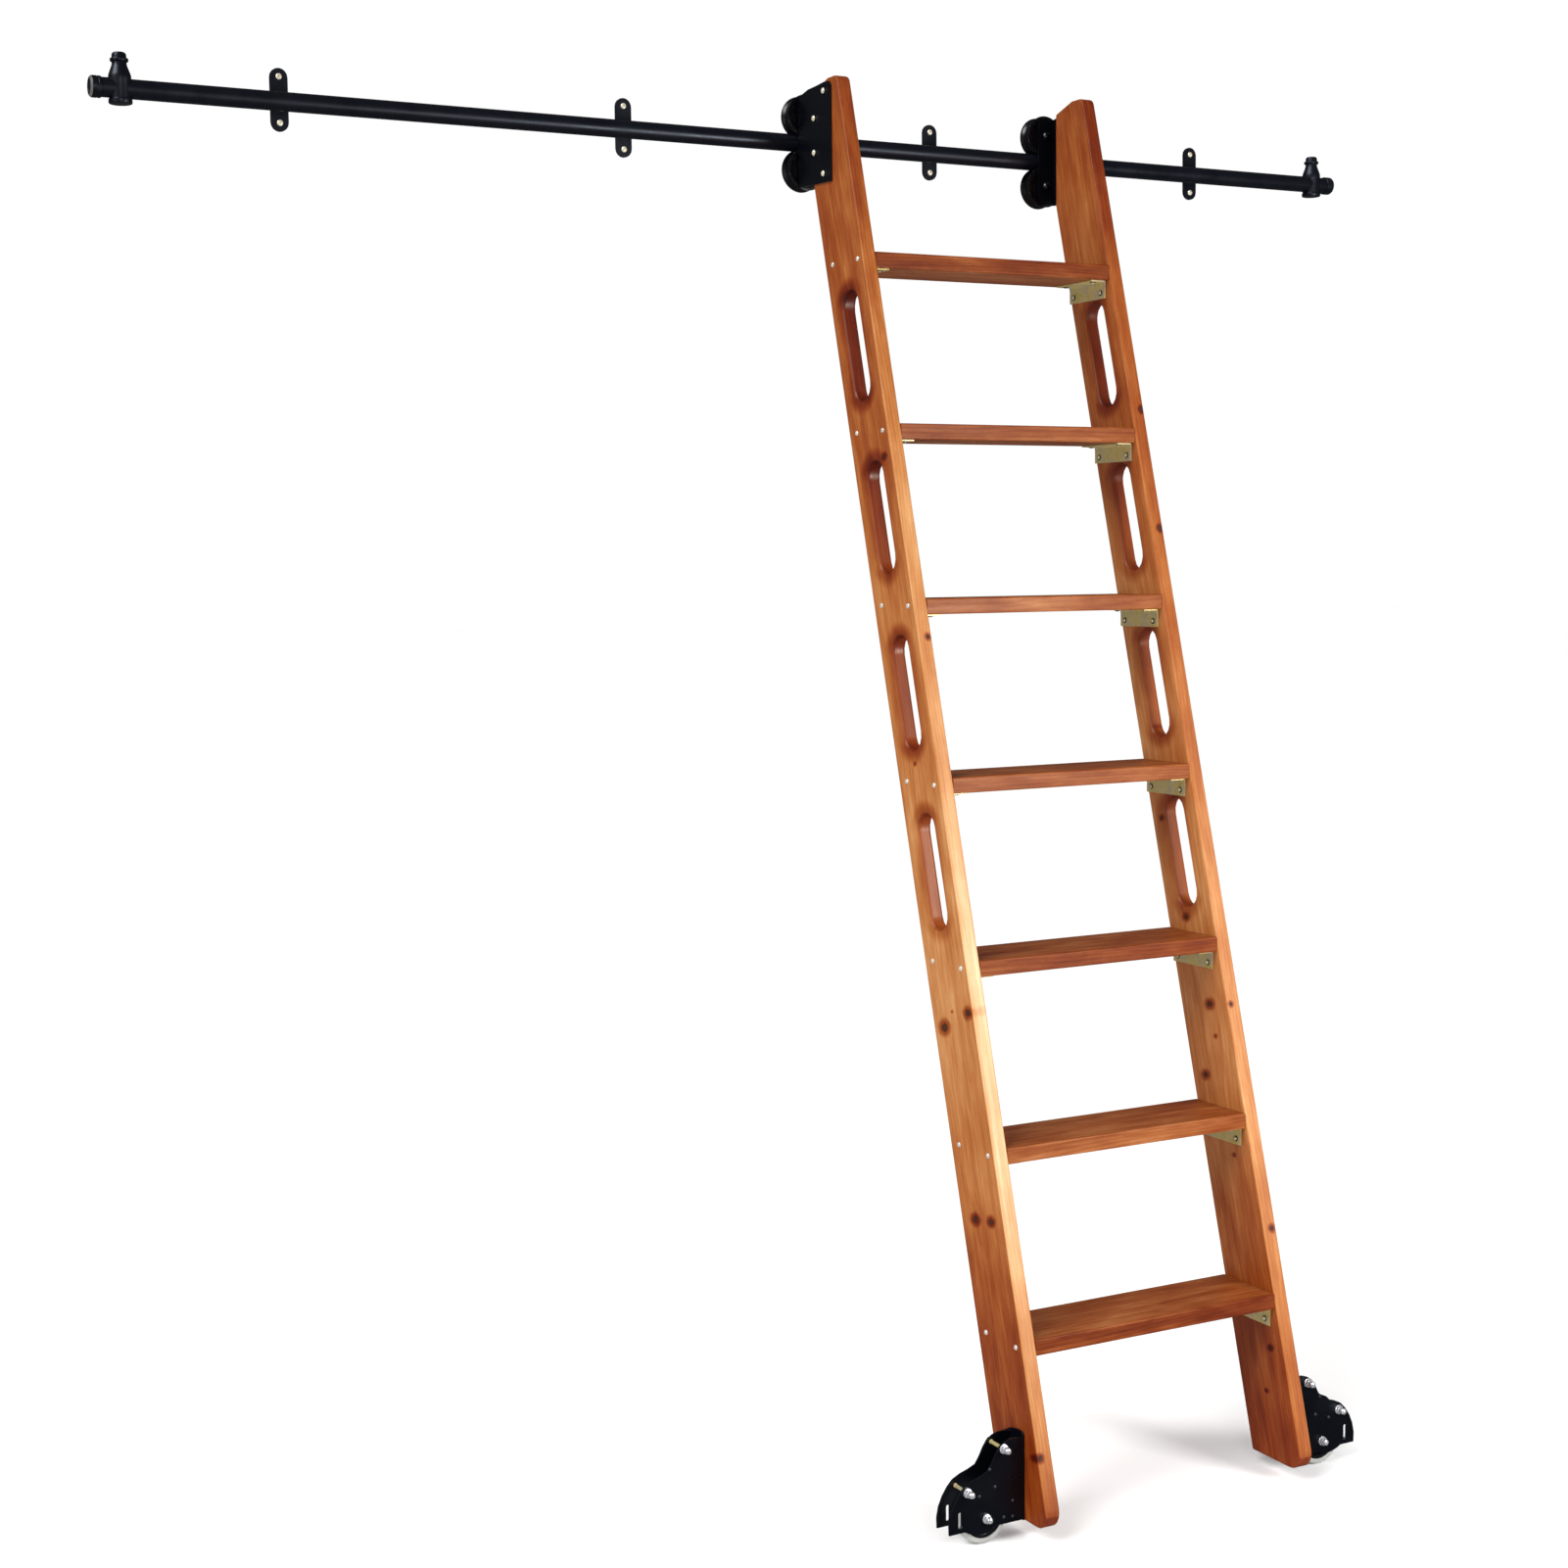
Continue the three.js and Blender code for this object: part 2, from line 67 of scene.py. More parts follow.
RAIL_LO, RAIL_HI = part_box("rail_tube")
RAIL = middle("rail_tube")
RAIL_RADIUS = (RAIL_HI.z - RAIL_LO.z) / 2 / MM
STILE_HALF = (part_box("stile_left")[1].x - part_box("stile_left")[0].x) / 2
LADDER_X = (middle("stile_left").x + middle("stile_right").x) / 2
FIRST_TREAD_LO, FIRST_TREAD_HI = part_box("tread_1")


def front_y(z):
    """Where the front faces of the stiles are at height z."""
    return FIRST_TREAD_LO.y + TREAD_OVERHANG + (z - FIRST_TREAD_HI.z) * TAN


# ---- materials ----
class Shader:
    """A material with short names for the nodes that it is made of."""

    def __init__(self, name, **settings):
        self.material = bpy.data.materials.new(name)
        self.material.use_nodes = True
        self.tree = self.material.node_tree
        self.tree.nodes.clear()
        out = self.tree.nodes.new("ShaderNodeOutputMaterial")
        self.surface = self.tree.nodes.new("ShaderNodeBsdfPrincipled")
        self.tree.links.new(self.surface.outputs[0], out.inputs["Surface"])
        for socket, value in settings.items():
            self.surface.inputs[socket.replace("_", " ")].default_value = value
        self.place = self.node("ShaderNodeTexCoord").outputs["Object"]

    def put(self, socket, value):
        if isinstance(value, bpy.types.NodeSocket):
            self.tree.links.new(value, socket)
        elif isinstance(value, (tuple, list)) and socket.type == "RGBA":
            socket.default_value = (*value, 1)
        else:
            socket.default_value = value

    def node(self, kind, inputs=(), **settings):
        made = self.tree.nodes.new(kind)
        for name, value in settings.items():
            setattr(made, name, value)
        for name, value in dict(inputs).items():
            self.put(made.inputs[name], value)
        return made

    def math(self, operation, *values, clamp=False):
        made = self.node("ShaderNodeMath", operation=operation, use_clamp=clamp)
        for socket, value in zip(made.inputs, values):
            self.put(socket, value)
        return made.outputs[0]

    def vector(self, operation, *values, out="Vector"):
        made = self.node("ShaderNodeVectorMath", operation=operation)
        for socket, value in zip(made.inputs, values):
            self.put(socket, value)
        return made.outputs[out]

    def noise(self, scale, detail=3, stretch=(1, 1, 1), roughness=0.5, place=None):
        """A noise from 0 to 1 with scale features to the metre, squeezed by stretch."""
        at = self.vector("MULTIPLY", place or self.place, stretch)
        inputs = {"Vector": at, "Scale": scale, "Detail": detail, "Roughness": roughness}
        return self.node("ShaderNodeTexNoise", inputs).outputs[0]

    def span(self, value, low, high, to_low=0.0, to_high=1.0):
        """Value carried smoothly from low..high to to_low..to_high."""
        made = self.node("ShaderNodeMapRange", interpolation_type="SMOOTHSTEP")
        for socket, number in zip(made.inputs, (value, low, high, to_low, to_high)):
            self.put(socket, number)
        return made.outputs[0]

    def ramp(self, value, stops, interpolation="LINEAR"):
        """The colour, or the grey, at value between stops of (position, colour or grey)."""
        made = self.node("ShaderNodeValToRGB", {"Fac": value})
        ramp = made.color_ramp
        ramp.interpolation = interpolation
        while len(ramp.elements) < len(stops):
            ramp.elements.new(0.5)
        for element, (position, colour) in zip(ramp.elements, stops):
            element.position = position
            element.color = (*colour, 1) if isinstance(colour, tuple) else (colour,) * 3 + (1,)
        return made.outputs[0]

    def mix(self, factor, a, b, blend="MIX"):
        made = self.node("ShaderNodeMix", data_type="RGBA", blend_type=blend)
        for index, value in ((0, factor), (6, a), (7, b)):
            self.put(made.inputs[index], value)
        return made.outputs[2]

    def bump(self, height, depth, strength=1.0, normal=None):
        inputs = {"Height": height, "Distance": depth, "Strength": strength}
        if normal:
            inputs["Normal"] = normal
        return self.node("ShaderNodeBump", inputs).outputs[0]

    def edges(self, radius):
        """How close a point is to a sharp edge, from 0 to 1."""
        rounded = self.node("ShaderNodeBevel", {"Radius": radius}, samples=6).outputs[0]
        flat = self.node("ShaderNodeNewGeometry").outputs["Normal"]
        turned = self.vector("DOT_PRODUCT", rounded, flat, out="Value")
        return self.span(turned, 0.99, 0.80)

    def finish(self, **inputs):
        for name, value in inputs.items():
            self.put(self.surface.inputs[name.replace("_", " ")], value)
        return self.material


def black_coat(name, low, high, base, worn, specular):
    """Black powder coat: fine orange peel, dull patches and edges rubbed a little grey."""
    s = Shader(name, Metallic=0.0, Specular_Tint=(0.78, 0.86, 1.0, 1))
    s.surface.inputs["Specular IOR Level"].default_value = specular
    patches = s.noise(14, 4)
    grain = s.noise(900, 2)
    scuffs = s.noise(60, 5, (1, 1, 0.25), 0.65)
    rubbed = s.math("MULTIPLY", s.edges(0.8 * MM), s.span(scuffs, 0.40, 0.62))
    colour = s.mix(patches, tuple(0.75 * c for c in base), tuple(1.3 * c for c in base))
    colour = s.mix(rubbed, colour, worn)
    rough = s.span(s.math("ADD", s.math("MULTIPLY", patches, 0.7), s.math("MULTIPLY", scuffs, 0.3)),
                   0.3, 0.7, low, high)
    return s.finish(Base_Color=colour, Roughness=rough,
                    Normal=s.bump(grain, 0.12 * MM, 0.5, s.bump(patches, 0.4 * MM, 0.3)))


def plated(name, tones, low, high, streak=(1, 1, 1), grain=500, metallic=1.0):
    """A plated metal: its tone drifts between three colours, and fine rubbing marks break its shine."""
    s = Shader(name, Metallic=metallic)
    drift = s.noise(38, 4, roughness=0.6)
    marks = s.noise(grain, 3, streak, 0.6)
    spots = s.span(s.noise(260, 3), 0.60, 0.72)
    colour = s.ramp(drift, [(0.32, tones[0]), (0.50, tones[1]), (0.68, tones[2])])
    colour = s.mix(s.math("MULTIPLY", spots, 0.55), colour, tuple(0.35 * c for c in tones[1]))
    rough = s.span(s.math("ADD", s.math("MULTIPLY", marks, 0.6), s.math("MULTIPLY", drift, 0.4)),
                   0.3, 0.7, low, high)
    return s.finish(Base_Color=colour, Roughness=rough, Normal=s.bump(marks, 0.05 * MM, 0.5))


def moulded(name, base, low, high, grain=700, depth=0.08, specular=0.5, dust=0.5):
    """A moulded plastic or rubber with a fine skin, dull handling patches and lighter dust on its edges."""
    s = Shader(name)
    s.surface.inputs["Specular IOR Level"].default_value = specular
    patches = s.noise(45, 4, roughness=0.6)
    skin = s.noise(grain, 2)
    colour = s.mix(patches, tuple(0.82 * c for c in base), tuple(1.15 * c for c in base))
    dusty = s.math("MULTIPLY", s.edges(0.7 * MM), s.span(patches, 0.35, 0.65, 0.2 * dust, dust))
    colour = s.mix(dusty, colour, tuple(min(1, 1.6 * c + 0.012) for c in base))
    return s.finish(Base_Color=colour, Roughness=s.span(patches, 0.3, 0.7, low, high),
                    Normal=s.bump(skin, depth * MM, 0.3))


def darkening_at(s, height, darkening):
    """How strongly the colour is darkened at a height, between the (height, strength) entries of darkening:
    staining, and on the stiles painted shade and a painted sheen as well.
    """
    first, last = darkening[0][0], darkening[-1][0]
    strongest = max(value for _, value in darkening)
    share = s.math("DIVIDE", s.math("SUBTRACT", height, first), last - first, clamp=True)
    stops = [((h - first) / (last - first), value / strongest) for h, value in darkening]
    return s.math("MULTIPLY", s.ramp(share, stops, "EASE"), strongest)


def slot_stain_and_shade(s, y, z, blotch, slots):
    """The staining gathered round the handhold slots, and the darkening of their walls: end grain that
    soaked up more, with painted shade in the recess.
    """
    (across, start), period, count, half_length, half_width = slots
    along = s.math("DIVIDE", s.math("SUBTRACT", z, start), period)
    nearest = s.math("MINIMUM", s.math("MAXIMUM", s.math("ROUND", along), 0.0), count - 1.0)
    offset = s.math("MULTIPLY", s.math("ABSOLUTE", s.math("SUBTRACT", along, nearest)), period)
    past = s.math("MAXIMUM", s.math("SUBTRACT", offset, half_length - half_width), 0.0)
    aside = s.math("SUBTRACT", y, across)
    reach = s.math("SQRT", s.math("ADD", s.math("POWER", past, 2.0), s.math("MULTIPLY", aside, aside)))
    gap = s.math("SUBTRACT", reach, half_width)
    ends = s.span(past, 0.0, half_width, 0.45, 1.0)
    face = s.math("MULTIPLY", s.span(gap, 30 * MM, 2 * MM, 0.0, 0.8), s.span(blotch, 0.3, 0.6, 0.5, 1.1))
    # Darker slot walls: end grain that soaked up more staining, and painted shade inside the recess
    wall = s.span(gap, 4.5 * MM, 1.0 * MM, 0.0, 0.38)
    return s.math("ADD", s.math("MULTIPLY", face, ends), wall)


# Pine: how often the growth rings come, and how far they sweep, ripple and bend round a knot, in metres
RINGS_PER_METRE = 210.0
RING_SWEEP = 0.060
RING_RIPPLE = 0.008
KNOT_PULL = 0.010
KNOT_RAGGEDNESS = 0.9
KNOTLESS = 9.0
# How much the long edges are lightened: wear, and a painted highlight on the rounded edges
EDGE_WEAR_AND_HIGHLIGHT = 0.14
FIBRE_RELIEF = 0.10 * MM
FACE_RELIEF = 1.2 * MM


def knot_distance(s, board, wander, knots):
    """How far a point is from the nearest knot, in that knot's radii, with wander to fray the outline."""
    near = None
    for centre, squeeze, radius in knots:
        away = s.vector("MULTIPLY", s.vector("SUBTRACT", board, centre), squeeze)
        away = s.math("DIVIDE", s.vector("LENGTH", away, out="Value"), radius)
        near = away if near is None else s.math("MINIMUM", near, away)
    if near is None:
        near = s.math("ADD", wander, KNOTLESS)
    return s.math("ADD", near, s.math("MULTIPLY", s.math("SUBTRACT", wander, 0.5), KNOT_RAGGEDNESS))


def late_wood(s, x, y, pith, near, shifted):
    """The dark late wood of the growth rings, from 0 to 1: rings round the pith that part round knots."""
    pull = s.math("DIVIDE", KNOT_PULL, s.math("ADD", 1.0, s.math("POWER", near, 2.4)))
    sweep = s.math("SUBTRACT", s.noise(5.0, 2, (1, 1, 0.22), place=shifted), 0.5)
    ripple = s.math("SUBTRACT", s.noise(26, 2, (1, 1, 0.16), place=shifted), 0.5)
    flat = s.node("ShaderNodeCombineXYZ", {"X": s.math("SUBTRACT", x, pith[0]),
                                           "Y": s.math("SUBTRACT", y, pith[1])}).outputs[0]
    ring = s.vector("LENGTH", flat, out="Value")
    for amount, value in ((RING_SWEEP, sweep), (RING_RIPPLE, ripple)):
        ring = s.math("ADD", ring, s.math("MULTIPLY", value, amount))
    ring = s.math("ADD", ring, pull)
    return s.ramp(s.math("FRACT", s.math("MULTIPLY", ring, RINGS_PER_METRE)),
                  [(0.0, 0.05), (0.45, 0.18), (0.86, 1.0), (0.93, 0.85), (1.0, 0.05)])


def edge_wear_and_highlight(s, x, y, size, streak):
    """How much lighter the long edges of a board of size (thickness, width) are, from 0 to 1: staining
    rubbed off, and a painted highlight along the rounded edges.
    """
    half = (size[0] / 2, size[1] / 2)
    corner = s.math("MAXIMUM", s.math("SUBTRACT", half[0], s.math("ABSOLUTE", x)),
                    s.math("SUBTRACT", half[1], s.math("ABSOLUTE", s.math("SUBTRACT", y, half[1]))))
    return s.math("MULTIPLY", s.span(corner, 3.5 * MM, 0.8 * MM), s.span(streak, 0.35, 0.6, 0.25, 1))


def knot_colour(s, colour, near, inside):
    """Lays the dark, ringed hearts of the knots and their darker rims over colour."""
    core = s.ramp(s.math("FRACT", s.math("MULTIPLY", near, 3.6)), [(0.0, 0.0), (0.7, 1.0), (1.0, 0.3)])
    heart = s.mix(core, (0.070, 0.017, 0.004), (0.024, 0.005, 0.001))
    rim = s.span(s.math("ABSOLUTE", s.math("SUBTRACT", near, 0.92)), 0.16, 0.02)
    heart = s.mix(s.math("MULTIPLY", rim, 0.8), heart, (0.016, 0.004, 0.001))
    return s.mix(s.math("MULTIPLY", inside, 0.9), colour, heart)


def wood(name, rotation, location, pith, size, base, darkening, front_darkening, gloss, knots=(), slots=None,
         seed=0.0):
    """Stained pine for one board. Board space is x through its thickness, y from its front edge and z
    along the grain, found by rotation and location. The growth rings run round the line pith = (x, y),
    size is the board's (thickness, width), darkening and front_darkening list (height in the row, strength)
    for the board and for its front edge, which on the stiles hold painted shade and a painted sheen besides
    the staining, each knot is (centre, squeeze, radius) with the squeeze small along its axis, and slots is
    where the handholds start, how far apart they are, how many, and half their length and width, all in
    metres."""
    s = Shader(name, Specular_Tint=(1.0, 0.89, 0.75, 1))
    s.surface.inputs["Specular IOR Level"].default_value = gloss
    inputs = {"Vector": s.place, "Rotation": rotation, "Location": location}
    board = s.node("ShaderNodeMapping", inputs).outputs[0]
    shifted = s.vector("ADD", board, (seed, 2 * seed, 3 * seed))
    split = s.node("ShaderNodeSeparateXYZ", {"Vector": board})
    x, y, along = split.outputs
    height = s.node("ShaderNodeSeparateXYZ", {"Vector": s.place}).outputs[2]

    near = knot_distance(s, board, s.noise(105, 3, place=shifted), knots)
    inside = s.span(near, 1.12, 0.86)
    late = late_wood(s, x, y, pith, near, shifted)
    fibre = s.noise(750, 3, (1, 1, 0.018), 0.6, shifted)
    streak = s.noise(120, 4, (1, 1, 0.025), 0.6, shifted)
    blotch = s.noise(7, 3, (1, 1, 0.5), 0.55, shifted)
    smear = s.noise(42, 4, (1, 1, 0.22), 0.62, shifted)
    pores = s.span(s.noise(1500, 2, (1, 1, 0.03), 0.5, shifted), 0.62, 0.75)

    vary = 1.0
    for amount, value in ((0.13, late), (0.45, streak), (0.26, fibre), (0.65, blotch), (0.85, smear),
                          (0.16, pores)):
        vary = s.math("ADD", vary, s.math("MULTIPLY", s.math("SUBTRACT", value, 0.45), amount))
    halo = s.span(near, 2.6, 0.9, 0.0, 0.95)
    if slots:
        # The slots add their staining round them and painted shade on their walls
        halo = s.math("ADD", halo, slot_stain_and_shade(s, y, along, blotch, slots))
    front = s.span(y, 3.5 * MM, 1.5 * MM)
    # The colour is darkened by staining, and on the stiles also by painted shade, with a painted sheen that
    # makes the left front paler
    density = s.mix(front, darkening_at(s, height, darkening), darkening_at(s, height, front_darkening))
    density = s.math("MULTIPLY", density, s.math("ADD", vary, halo))
    # Lighter long edges: rubbed-off staining and a painted highlight
    worn = s.math("MULTIPLY", edge_wear_and_highlight(s, x, y, size, streak), EDGE_WEAR_AND_HIGHLIGHT)
    density = s.math("SUBTRACT", density, worn)
    colour = s.node("ShaderNodeGamma", {"Color": base, "Gamma": density}).outputs[0]

    rough = s.math("ADD", s.span(streak, 0.3, 0.7, 0.36, 0.50), s.math("MULTIPLY", late, -0.06))
    rough = s.math("ADD", rough, s.math("MULTIPLY", inside, 0.3))
    relief = s.math("ADD", s.math("MULTIPLY", fibre, 0.6), s.math("MULTIPLY", late, 0.4))
    return s.finish(Base_Color=knot_colour(s, colour, near, inside), Roughness=rough,
                    Normal=s.bump(relief, FIBRE_RELIEF, 0.5, s.bump(blotch, FACE_RELIEF, 0.25)))


# ---- mesh helpers ----
def ring_share(shape, angle):
    """The radius at angle for a ring of radius 1: round, or a hexagon of that half width, or a cross."""
    if shape == "hex":
        return 1 / math.cos(angle % math.radians(60) - math.radians(30))
    if shape == "cross":
        turn = angle % math.radians(90)
        return 1.0 if min(turn, math.radians(90) - turn) < math.radians(16) else 0.42
    return 1.0


def turned(bm, profile, place, segments=48, closed=False, material=0):
    """Adds a turned solid to bm. The profile's entries are (radius, height[, shape]) about local Z."""
    rings = []
    for radius, height, *shape in profile:
        angles = [2 * math.pi * k / segments for k in range(segments if radius else 1)]
        rings.append([])
        for angle in angles:
            r = radius * ring_share(shape[0] if shape else "round", angle)
            at = Vector((r * math.cos(angle), r * math.sin(angle), height)) * MM
            rings[-1].append(bm.verts.new(place @ at))
    pairs = list(zip(rings, rings[1:]))
    if closed:
        pairs.append((rings[-1], rings[0]))
    for a, b in pairs:
        for k in range(max(len(a), len(b))):
            corners = [a[k % len(a)], a[(k + 1) % len(a)], b[(k + 1) % len(b)], b[k % len(b)]]
            unique = list(dict.fromkeys(corners))
            bm.faces.new(unique).material_index = material
    return bm


def facing(origin, axis, roll=0.0):
    """The place whose local Z points along axis from origin, turned about it by roll."""
    turn = Vector(axis).to_track_quat("Z", "Y").to_matrix().to_4x4()
    return Matrix.Translation(origin) @ turn @ Matrix.Rotation(roll, 4, "Z")


def soften(obj, width, segments=2, angle=30):
    """Rounds the edges sharper than angle degrees by width mm."""
    bevel = obj.modifiers.new("soft edges", "BEVEL")
    bevel.width = width * MM
    bevel.segments = segments
    bevel.limit_method = "ANGLE"
    bevel.angle_limit = math.radians(angle)
    bevel.harden_normals = True


def piece(name, bm, materials, body, nodes=(), edge=0.3, sharp=32):
    """Makes bm a piece of the object that rides on body and stands for the CAD nodes named."""
    bmesh.ops.recalc_face_normals(bm, faces=bm.faces)
    mesh = bpy.data.meshes.new(name)
    bm.to_mesh(mesh)
    bm.free()
    for material in materials:
        mesh.materials.append(material)
    mesh.shade_smooth()
    mesh.set_sharp_from_angle(angle=math.radians(sharp))
    obj = bpy.data.objects.new(name, mesh)
    bpy.context.scene.collection.objects.link(obj)
    if edge:
        soften(obj, edge, 2, sharp)
    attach(obj, body)
    if nodes:
        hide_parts(*nodes)
    return obj


def dress(node, material, edge, segments=2, angle=30):
    """Gives a CAD node its finish and rounds its edges with modifiers, its own mesh left as it is."""
    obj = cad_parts[node]
    obj.data.materials.clear()
    obj.data.materials.append(material)
    if "custom_normal" in obj.data.attributes:
        obj.data.attributes.remove(obj.data.attributes["custom_normal"])
    obj.data.shade_smooth()
    weld = obj.modifiers.new("join faces", "WELD")
    weld.merge_threshold = 1e-5
    flat = obj.modifiers.new("merge flats", "DECIMATE")
    flat.decimate_type = "DISSOLVE"
    flat.angle_limit = math.radians(0.5)
    soften(obj, edge, segments, angle)
    even = obj.modifiers.new("even shading", "WEIGHTED_NORMAL")
    even.weight = 100
    even.keep_sharp = True


# ---- finishes ----
COAT = black_coat("black_powder_coat", 0.30, 0.44, (0.0022, 0.0028, 0.0060), (0.030, 0.032, 0.042), 0.42)
PLATE = black_coat("black_plate_coat", 0.26, 0.42, (0.0016, 0.0018, 0.0036), (0.022, 0.023, 0.030), 0.32)
GLOSS = moulded("black_nylon", (0.0022, 0.0024, 0.0040), 0.20, 0.34, depth=0.03, dust=0.0)
TYRE = moulded("grey_rubber", (0.40, 0.40, 0.38), 0.55, 0.75, 420, 0.15)
ZINC = plated("yellow_zinc", [(0.72, 0.55, 0.16), (0.74, 0.61, 0.28), (0.56, 0.50, 0.38)],
              0.26, 0.46, (1, 1, 0.1), metallic=0.55)
PALE = plated("pale_brass", [(0.92, 0.82, 0.58), (0.95, 0.90, 0.74), (0.84, 0.72, 0.48)], 0.20, 0.36,
              metallic=0.5)
CHROME = plated("chrome", [(0.90, 0.90, 0.94), (0.95, 0.95, 0.98), (0.84, 0.85, 0.90)], 0.10, 0.22,
                metallic=0.75)
SILVER = plated("silver_screws", [(0.74, 0.72, 0.64), (0.86, 0.84, 0.78), (0.62, 0.58, 0.50)], 0.20, 0.38,
                metallic=0.45)
RIVETED = black_coat("rubbed_rivets", 0.25, 0.4, (0.03, 0.03, 0.04), (0.20, 0.20, 0.22), 0.5)
# A grey coat for the rounded rims of the rail's end plugs: a painted highlight
HIGHLIT_RIM_COAT = black_coat("painted_highlight_rim_coat", 0.35, 0.5, (0.10, 0.10, 0.09), (0.45, 0.44, 0.40), 0.4)
DARK = plated("blackened_steel", [(0.035, 0.036, 0.045), (0.06, 0.062, 0.075), (0.025, 0.026, 0.03)],
              0.22, 0.38)


# ---- stiles and treads: darkening goes by height in metres, knots are in millimetres ----
STILE_BASE = (0.46, 0.192, 0.060)
# How dark the stiles' sides are by height: staining, with painted shade toward the foot and the top
STILE_STAIN_AND_SHADE = [(0.03, 2.2), (0.25, 1.95), (0.40, 1.65), (0.56, 1.25), (0.70, 1.12), (0.87, 1.10),
               (1.17, 1.14), (1.47, 1.22), (1.77, 1.5), (2.00, 1.6), (2.20, 1.5), (2.43, 1.7)]
# How dark each stile's front edge is by height: staining, with a painted sheen that makes the left front
# paler from 0.5 to 1.05 m, and painted shade that darkens the right front and both ends
STILE_FRONT_STAIN_AND_PAINTED_LIGHT = {
    "left": [(0.03, 1.7), (0.25, 1.08), (0.50, 0.84), (0.70, 0.70), (0.88, 0.67), (1.05, 0.86),
             (1.30, 1.05), (1.70, 1.0), (1.90, 1.28), (2.10, 1.5), (2.30, 1.9), (2.43, 2.1)],
    "right": [(0.03, 1.6), (0.25, 1.25), (0.40, 1.25), (0.55, 1.12), (1.00, 1.24), (1.50, 1.48), (1.90, 1.5),
              (2.10, 1.7), (2.30, 2.1), (2.43, 2.3)],
}
STILE_GLOSS = 0.5
STILE_PITH = (0.055, 0.060)
STILE_SEED = 1.7
FACE_SQUEEZE = (0.25, 0.82, 1.1)
FRONT_SQUEEZE = (1.1, 0.35, 1.0)
# Knots in the sides of each stile: how deep behind its front face, how high, and the radius
FACE_KNOTS = {
    "left": [(16, 836, 7), (96, 800, 8.5), (65, 831, 2.5), (86, 492, 7), (38, 499, 6), (24, 1764, 4.5),
             (70, 1240, 3)],
    "right": [(78, 944, 5.5), (50, 797, 6.5), (48, 742, 3), (94, 668, 6), (103, 1116, 4), (83, 1283, 3.5),
              (49, 540, 3), (34, 222, 4), (64, 143, 3)],
}
# Knots in its front face: how far to the right of its middle, how high, and the radius
FRONT_KNOTS = {
    "left": [(-9, 142, 4.5), (6, 1456, 4)],
    "right": [(6, 1638, 4.5), (8, 1854, 4.5), (-6, 804, 3.5), (4, 426, 4.5)],
}
SLOT_DEPTH, SLOT_FIRST, SLOT_RISE, SLOT_COUNT = 65, 1060, 300, 4
SLOT_HALF_LENGTH, SLOT_HALF_WIDTH = 98.5, 26


def along_stile(depth, z):
    """Board space (y, z) for the point depth mm behind the front face at height z mm."""
    return depth * MM, (front_y(z * MM) + depth * MM / COS) * SIN + z * MM * COS


def stile_knots(label):
    faces = [((0, *along_stile(depth, z)), FACE_SQUEEZE, r * MM) for depth, z, r in FACE_KNOTS[label]]
    fronts = [((x * MM, *along_stile(0, z)), FRONT_SQUEEZE, r * MM) for x, z, r in FRONT_KNOTS[label]]
    return faces + fronts


def dress_stile(label, side):
    """Gives a stile its own board of pine, with its knots, the staining round its handholds and painted
    shade on their walls.
    """
    where = (-middle(f"stile_{label}").x, -front_y(0) * COS, 0)
    slots = (along_stile(SLOT_DEPTH, SLOT_FIRST), SLOT_RISE / COS * MM, SLOT_COUNT,
             SLOT_HALF_LENGTH * MM, SLOT_HALF_WIDTH * MM)
    finish = wood(f"stile_wood_{label}", (LEAN, 0, 0), where, (side * STILE_PITH[0], STILE_PITH[1]),
                  (2 * STILE_HALF, STILE_DEPTH), STILE_BASE, STILE_STAIN_AND_SHADE, STILE_FRONT_STAIN_AND_PAINTED_LIGHT[label],
                  STILE_GLOSS, stile_knots(label), slots, STILE_SEED + side)
    dress(f"stile_{label}", finish, edge=3.0, segments=3, angle=40)


TREAD_BASE = (0.43, 0.195, 0.082)
TREAD_STAIN = 1.68
TREAD_FRONT_STAIN = (2.35, 1.65, 2.05, 1.8, 1.8, 1.8, 2.15)
TREAD_GLOSS = 0.22
TREAD_PITH = (0.050, 0.055)
TREAD_SEED = 0.37


def dress_tread(number, front_darkening):
    """Gives a tread its own board of pine, with the grain along X."""
    lo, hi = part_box(f"tread_{number}")
    where = ((lo.z + hi.z) / 2, -lo.y, -LADDER_X)
    darkening = [(z, TREAD_STAIN) for z in (lo.z, hi.z)]
    front = [(z, front_darkening) for z in (lo.z, hi.z)]
    finish = wood(f"tread_wood_{number}", (0, -math.pi / 2, 0), where, TREAD_PITH,
                  (hi.z - lo.z, hi.y - lo.y), TREAD_BASE, darkening, front, TREAD_GLOSS,
                  seed=TREAD_SEED * number)
    dress(f"tread_{number}", finish, edge=0.9, segments=2, angle=40)


for label, side in SIDES:
    dress_stile(label, side)
for number, front_darkening in enumerate(TREAD_FRONT_STAIN, 1):
    dress_tread(number, front_darkening)

# ---- metal CAD nodes that keep their shape ----
for number in range(1, TREAD_COUNT + 1):
    for label, _ in SIDES:
        dress(f"tread_bracket_{label}_{number}", ZINC, edge=0.5)
for label, _ in SIDES:
    for plate in ("top_bracket", "foot_flange", "foot_front_plate", "foot_back_plate"):
        dress(f"{plate}_{label}", PLATE, edge=0.6)
for number in range(1, WALL_BRACKET_COUNT + 1):
    dress(f"wall_bracket_{number}", COAT, edge=0.8)


# ---- the rail, its fittings and end plugs ----
def make_rail():
    length = (RAIL_HI.x - RAIL_LO.x) / MM
    r = RAIL_RADIUS
    tube = [(r - 2.5, 0), (r - 0.4, 0), (r, 0.4), (r, length - 0.4), (r - 0.4, length), (r - 2.5, length)]
    place = facing((RAIL_LO.x, RAIL.y, RAIL.z), (1, 0, 0))
    piece("rail", turned(bmesh.new(), tube, place, 96, True), [COAT], "rail",
          ["rail_tube"], 0)


